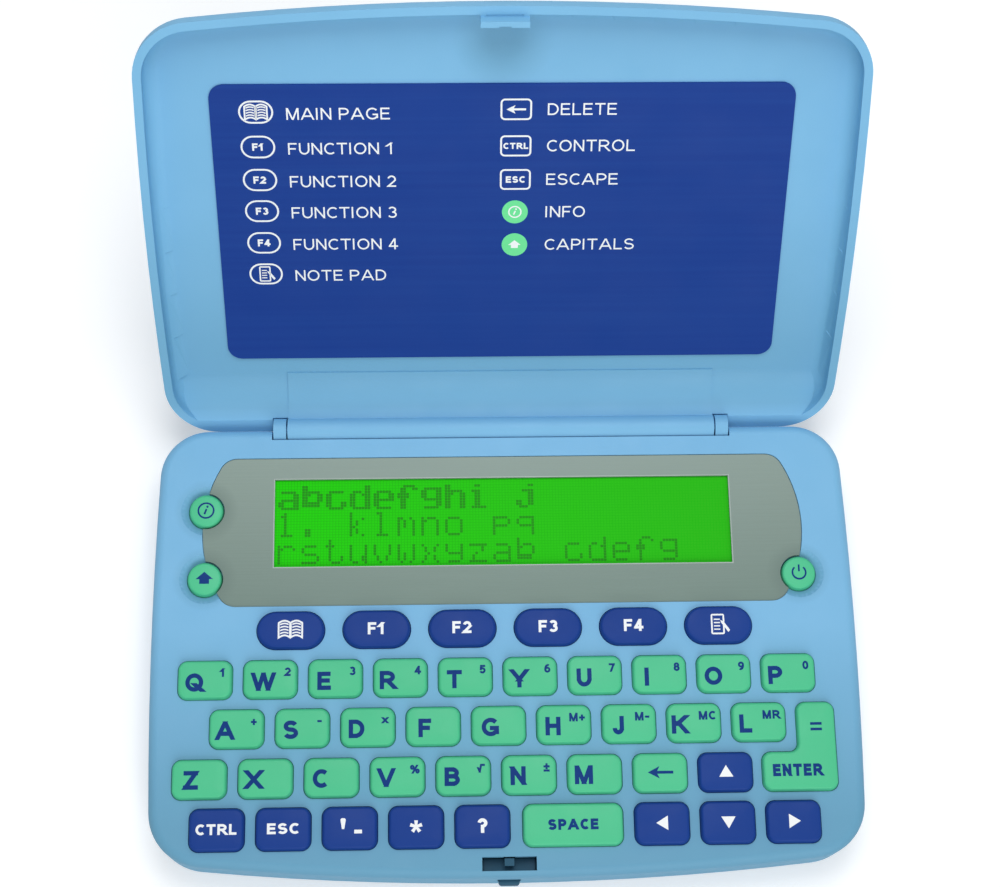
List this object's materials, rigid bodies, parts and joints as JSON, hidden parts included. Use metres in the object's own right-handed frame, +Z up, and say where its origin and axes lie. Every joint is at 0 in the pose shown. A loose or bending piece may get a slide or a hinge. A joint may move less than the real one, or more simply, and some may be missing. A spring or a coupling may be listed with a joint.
{
  "type": "electronic dictionary",
  "caption": "Pocket electronic dictionary: hinged lid with a legend card, small display, round and oval function keys, letter keyboard, catch and release button.",
  "frame": {"origin": "middle of the flat underside of the base, in the plane of the table", "axes": "+X to the reader's right, +Y from the front edge towards the hinge, +Z up out of the keys"},
  "size_m": [0.1364, 0.1481, 0.0807],
  "materials": {
    "case": "satin light blue ABS",
    "key_green": "satin sea green",
    "key_navy": "satin dark blue",
    "plate": "satin silver grey",
    "display": "lit green liquid crystal",
    "card": "printed film, dark blue",
    "latch": "slate",
    "silicone": "translucent grey",
    "board": "solder resist",
    "cell": "nickel plated",
    "contact": "nickel plated spring steel",
    "print_dark": "dark blue print",
    "print_white": "white print",
    "print_green": "sea green print",
    "display_dots": "dark liquid crystal dots",
    "screw": "zinc plated"
  },
  "bodies": {
    "base": {"top_case": "case", "bottom_case": "case", "display_plate": "plate", "lcd_panel": "display", "keypad_mat": "silicone", "circuit_board": "board", "battery_cells": "cell", "battery_contacts": "contact", "case_screws": "screw"},
    "lid": {"lid_shell": "case", "lid_legend_card": "card"},
    "battery_door": {"battery_door": "case"},
    "latch_button": {"latch_button": "latch"},
    "key_info": {"key_info": "key_green"},
    "key_shift": {"key_shift": "key_green"},
    "key_power": {"key_power": "key_green"},
    "key_book": {"key_book": "key_navy"},
    "key_f1": {"key_f1": "key_navy"},
    "key_f2": {"key_f2": "key_navy"},
    "key_f3": {"key_f3": "key_navy"},
    "key_f4": {"key_f4": "key_navy"},
    "key_notes": {"key_notes": "key_navy"},
    "key_q": {"key_q": "key_green"},
    "key_w": {"key_w": "key_green"},
    "key_e": {"key_e": "key_green"},
    "key_r": {"key_r": "key_green"},
    "key_t": {"key_t": "key_green"},
    "key_y": {"key_y": "key_green"},
    "key_u": {"key_u": "key_green"},
    "key_i": {"key_i": "key_green"},
    "key_o": {"key_o": "key_green"},
    "key_p": {"key_p": "key_green"},
    "key_a": {"key_a": "key_green"},
    "key_s": {"key_s": "key_green"},
    "key_d": {"key_d": "key_green"},
    "key_f": {"key_f": "key_green"},
    "key_g": {"key_g": "key_green"},
    "key_h": {"key_h": "key_green"},
    "key_j": {"key_j": "key_green"},
    "key_k": {"key_k": "key_green"},
    "key_l": {"key_l": "key_green"},
    "key_z": {"key_z": "key_green"},
    "key_x": {"key_x": "key_green"},
    "key_c": {"key_c": "key_green"},
    "key_v": {"key_v": "key_green"},
    "key_b": {"key_b": "key_green"},
    "key_n": {"key_n": "key_green"},
    "key_m": {"key_m": "key_green"},
    "key_back": {"key_back": "key_green"},
    "key_up": {"key_up": "key_navy"},
    "key_ctrl": {"key_ctrl": "key_navy"},
    "key_esc": {"key_esc": "key_navy"},
    "key_quote": {"key_quote": "key_navy"},
    "key_star": {"key_star": "key_navy"},
    "key_query": {"key_query": "key_navy"},
    "key_space": {"key_space": "key_green"},
    "key_left": {"key_left": "key_navy"},
    "key_down": {"key_down": "key_navy"},
    "key_right": {"key_right": "key_navy"},
    "key_enter": {"key_enter": "key_green"}
  },
  "joints": [
    {"name": "lid_hinge", "type": "hinge", "parent": "base", "child": "lid", "pos_m": [0, 0.04415, 0.0116], "axis": [-1, 0, 0], "range_deg": [-127.8, 0]},
    {"name": "door_slide", "type": "slide", "parent": "base", "child": "battery_door", "axis": [0, 1, 0], "range_m": [0, 0.03]},
    {"name": "latch_press", "type": "slide", "parent": "base", "child": "latch_button", "axis": [0, 1, 0], "range_m": [0, 0.0009], "stiffness_N_per_m": 800, "springref_m": -0.0008},
    {"name": "press_info", "type": "slide", "parent": "base", "child": "key_info", "axis": [0, 0, -1], "range_m": [0, 0.00085], "stiffness_N_per_m": 400, "springref_m": -0.001},
    {"name": "press_shift", "type": "slide", "parent": "base", "child": "key_shift", "axis": [0, 0, -1], "range_m": [0, 0.00085], "stiffness_N_per_m": 400, "springref_m": -0.001},
    {"name": "press_power", "type": "slide", "parent": "base", "child": "key_power", "axis": [0, 0, -1], "range_m": [0, 0.00085], "stiffness_N_per_m": 400, "springref_m": -0.001},
    {"name": "press_book", "type": "slide", "parent": "base", "child": "key_book", "axis": [0, 0, -1], "range_m": [0, 0.00085], "stiffness_N_per_m": 400, "springref_m": -0.001},
    {"name": "press_f1", "type": "slide", "parent": "base", "child": "key_f1", "axis": [0, 0, -1], "range_m": [0, 0.00085], "stiffness_N_per_m": 400, "springref_m": -0.001},
    {"name": "press_f2", "type": "slide", "parent": "base", "child": "key_f2", "axis": [0, 0, -1], "range_m": [0, 0.00085], "stiffness_N_per_m": 400, "springref_m": -0.001},
    {"name": "press_f3", "type": "slide", "parent": "base", "child": "key_f3", "axis": [0, 0, -1], "range_m": [0, 0.00085], "stiffness_N_per_m": 400, "springref_m": -0.001},
    {"name": "press_f4", "type": "slide", "parent": "base", "child": "key_f4", "axis": [0, 0, -1], "range_m": [0, 0.00085], "stiffness_N_per_m": 400, "springref_m": -0.001},
    {"name": "press_notes", "type": "slide", "parent": "base", "child": "key_notes", "axis": [0, 0, -1], "range_m": [0, 0.00085], "stiffness_N_per_m": 400, "springref_m": -0.001},
    {"name": "press_q", "type": "slide", "parent": "base", "child": "key_q", "axis": [0, 0, -1], "range_m": [0, 0.00085], "stiffness_N_per_m": 400, "springref_m": -0.001},
    {"name": "press_w", "type": "slide", "parent": "base", "child": "key_w", "axis": [0, 0, -1], "range_m": [0, 0.00085], "stiffness_N_per_m": 400, "springref_m": -0.001},
    {"name": "press_e", "type": "slide", "parent": "base", "child": "key_e", "axis": [0, 0, -1], "range_m": [0, 0.00085], "stiffness_N_per_m": 400, "springref_m": -0.001},
    {"name": "press_r", "type": "slide", "parent": "base", "child": "key_r", "axis": [0, 0, -1], "range_m": [0, 0.00085], "stiffness_N_per_m": 400, "springref_m": -0.001},
    {"name": "press_t", "type": "slide", "parent": "base", "child": "key_t", "axis": [0, 0, -1], "range_m": [0, 0.00085], "stiffness_N_per_m": 400, "springref_m": -0.001},
    {"name": "press_y", "type": "slide", "parent": "base", "child": "key_y", "axis": [0, 0, -1], "range_m": [0, 0.00085], "stiffness_N_per_m": 400, "springref_m": -0.001},
    {"name": "press_u", "type": "slide", "parent": "base", "child": "key_u", "axis": [0, 0, -1], "range_m": [0, 0.00085], "stiffness_N_per_m": 400, "springref_m": -0.001},
    {"name": "press_i", "type": "slide", "parent": "base", "child": "key_i", "axis": [0, 0, -1], "range_m": [0, 0.00085], "stiffness_N_per_m": 400, "springref_m": -0.001},
    {"name": "press_o", "type": "slide", "parent": "base", "child": "key_o", "axis": [0, 0, -1], "range_m": [0, 0.00085], "stiffness_N_per_m": 400, "springref_m": -0.001},
    {"name": "press_p", "type": "slide", "parent": "base", "child": "key_p", "axis": [0, 0, -1], "range_m": [0, 0.00085], "stiffness_N_per_m": 400, "springref_m": -0.001},
    {"name": "press_a", "type": "slide", "parent": "base", "child": "key_a", "axis": [0, 0, -1], "range_m": [0, 0.00085], "stiffness_N_per_m": 400, "springref_m": -0.001},
    {"name": "press_s", "type": "slide", "parent": "base", "child": "key_s", "axis": [0, 0, -1], "range_m": [0, 0.00085], "stiffness_N_per_m": 400, "springref_m": -0.001},
    {"name": "press_d", "type": "slide", "parent": "base", "child": "key_d", "axis": [0, 0, -1], "range_m": [0, 0.00085], "stiffness_N_per_m": 400, "springref_m": -0.001},
    {"name": "press_f", "type": "slide", "parent": "base", "child": "key_f", "axis": [0, 0, -1], "range_m": [0, 0.00085], "stiffness_N_per_m": 400, "springref_m": -0.001},
    {"name": "press_g", "type": "slide", "parent": "base", "child": "key_g", "axis": [0, 0, -1], "range_m": [0, 0.00085], "stiffness_N_per_m": 400, "springref_m": -0.001},
    {"name": "press_h", "type": "slide", "parent": "base", "child": "key_h", "axis": [0, 0, -1], "range_m": [0, 0.00085], "stiffness_N_per_m": 400, "springref_m": -0.001},
    {"name": "press_j", "type": "slide", "parent": "base", "child": "key_j", "axis": [0, 0, -1], "range_m": [0, 0.00085], "stiffness_N_per_m": 400, "springref_m": -0.001},
    {"name": "press_k", "type": "slide", "parent": "base", "child": "key_k", "axis": [0, 0, -1], "range_m": [0, 0.00085], "stiffness_N_per_m": 400, "springref_m": -0.001},
    {"name": "press_l", "type": "slide", "parent": "base", "child": "key_l", "axis": [0, 0, -1], "range_m": [0, 0.00085], "stiffness_N_per_m": 400, "springref_m": -0.001},
    {"name": "press_z", "type": "slide", "parent": "base", "child": "key_z", "axis": [0, 0, -1], "range_m": [0, 0.00085], "stiffness_N_per_m": 400, "springref_m": -0.001},
    {"name": "press_x", "type": "slide", "parent": "base", "child": "key_x", "axis": [0, 0, -1], "range_m": [0, 0.00085], "stiffness_N_per_m": 400, "springref_m": -0.001},
    {"name": "press_c", "type": "slide", "parent": "base", "child": "key_c", "axis": [0, 0, -1], "range_m": [0, 0.00085], "stiffness_N_per_m": 400, "springref_m": -0.001},
    {"name": "press_v", "type": "slide", "parent": "base", "child": "key_v", "axis": [0, 0, -1], "range_m": [0, 0.00085], "stiffness_N_per_m": 400, "springref_m": -0.001},
    {"name": "press_b", "type": "slide", "parent": "base", "child": "key_b", "axis": [0, 0, -1], "range_m": [0, 0.00085], "stiffness_N_per_m": 400, "springref_m": -0.001},
    {"name": "press_n", "type": "slide", "parent": "base", "child": "key_n", "axis": [0, 0, -1], "range_m": [0, 0.00085], "stiffness_N_per_m": 400, "springref_m": -0.001},
    {"name": "press_m", "type": "slide", "parent": "base", "child": "key_m", "axis": [0, 0, -1], "range_m": [0, 0.00085], "stiffness_N_per_m": 400, "springref_m": -0.001},
    {"name": "press_back", "type": "slide", "parent": "base", "child": "key_back", "axis": [0, 0, -1], "range_m": [0, 0.00085], "stiffness_N_per_m": 400, "springref_m": -0.001},
    {"name": "press_up", "type": "slide", "parent": "base", "child": "key_up", "axis": [0, 0, -1], "range_m": [0, 0.00085], "stiffness_N_per_m": 400, "springref_m": -0.001},
    {"name": "press_ctrl", "type": "slide", "parent": "base", "child": "key_ctrl", "axis": [0, 0, -1], "range_m": [0, 0.00085], "stiffness_N_per_m": 400, "springref_m": -0.001},
    {"name": "press_esc", "type": "slide", "parent": "base", "child": "key_esc", "axis": [0, 0, -1], "range_m": [0, 0.00085], "stiffness_N_per_m": 400, "springref_m": -0.001},
    {"name": "press_quote", "type": "slide", "parent": "base", "child": "key_quote", "axis": [0, 0, -1], "range_m": [0, 0.00085], "stiffness_N_per_m": 400, "springref_m": -0.001},
    {"name": "press_star", "type": "slide", "parent": "base", "child": "key_star", "axis": [0, 0, -1], "range_m": [0, 0.00085], "stiffness_N_per_m": 400, "springref_m": -0.001},
    {"name": "press_query", "type": "slide", "parent": "base", "child": "key_query", "axis": [0, 0, -1], "range_m": [0, 0.00085], "stiffness_N_per_m": 400, "springref_m": -0.001},
    {"name": "press_space", "type": "slide", "parent": "base", "child": "key_space", "axis": [0, 0, -1], "range_m": [0, 0.00085], "stiffness_N_per_m": 400, "springref_m": -0.001},
    {"name": "press_left", "type": "slide", "parent": "base", "child": "key_left", "axis": [0, 0, -1], "range_m": [0, 0.00085], "stiffness_N_per_m": 400, "springref_m": -0.001},
    {"name": "press_down", "type": "slide", "parent": "base", "child": "key_down", "axis": [0, 0, -1], "range_m": [0, 0.00085], "stiffness_N_per_m": 400, "springref_m": -0.001},
    {"name": "press_right", "type": "slide", "parent": "base", "child": "key_right", "axis": [0, 0, -1], "range_m": [0, 0.00085], "stiffness_N_per_m": 400, "springref_m": -0.001},
    {"name": "press_enter", "type": "slide", "parent": "base", "child": "key_enter", "axis": [0, 0, -1], "range_m": [0, 0.00085], "stiffness_N_per_m": 400, "springref_m": -0.001}
  ]
}
